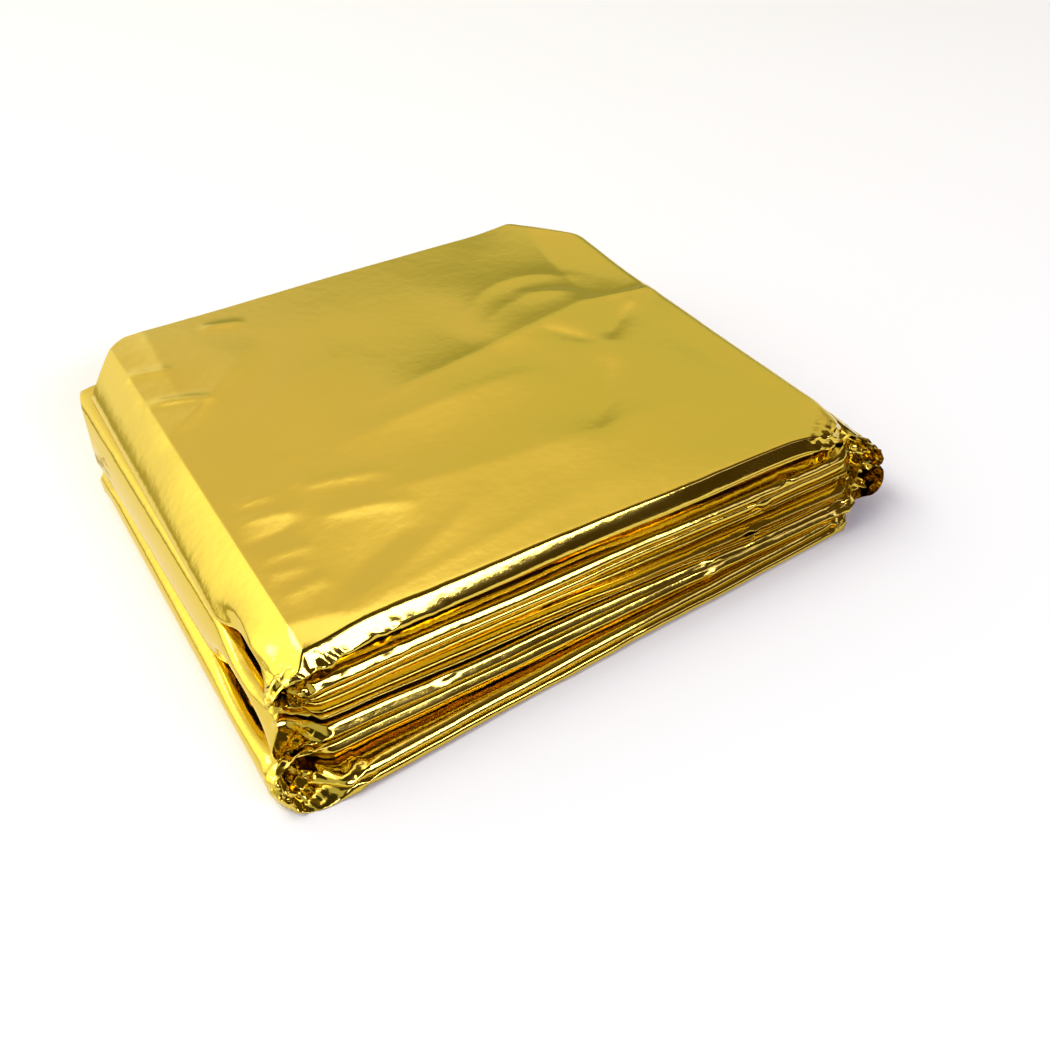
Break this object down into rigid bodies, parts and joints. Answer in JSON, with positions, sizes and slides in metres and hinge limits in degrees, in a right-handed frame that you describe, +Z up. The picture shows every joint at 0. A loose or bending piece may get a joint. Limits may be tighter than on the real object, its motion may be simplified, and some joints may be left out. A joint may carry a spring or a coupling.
{
  "type": "emergency foil blanket",
  "caption": "Emergency foil blanket of thin gold metallised film, folded back and forth into a flat, slightly skewed rectangular packet that lies on its largest face.",
  "frame": {"origin": "middle of the packet's bounding rectangle, on the surface that it lies on", "axes": "+Z up through the stack of layers; +X along the long front side, where the ridges of the folds show, to the right as seen from the front; +Y from front to back"},
  "size_m": [0.1416, 0.131, 0.0237],
  "materials": {
    "gold_film": "mirror-bright gold metallised polyester film, the same on both faces, with fine crinkles and sharp fold lines"
  },
  "bodies": {
    "root": {"foil_blanket": "gold_film"}
  },
  "joints": []
}
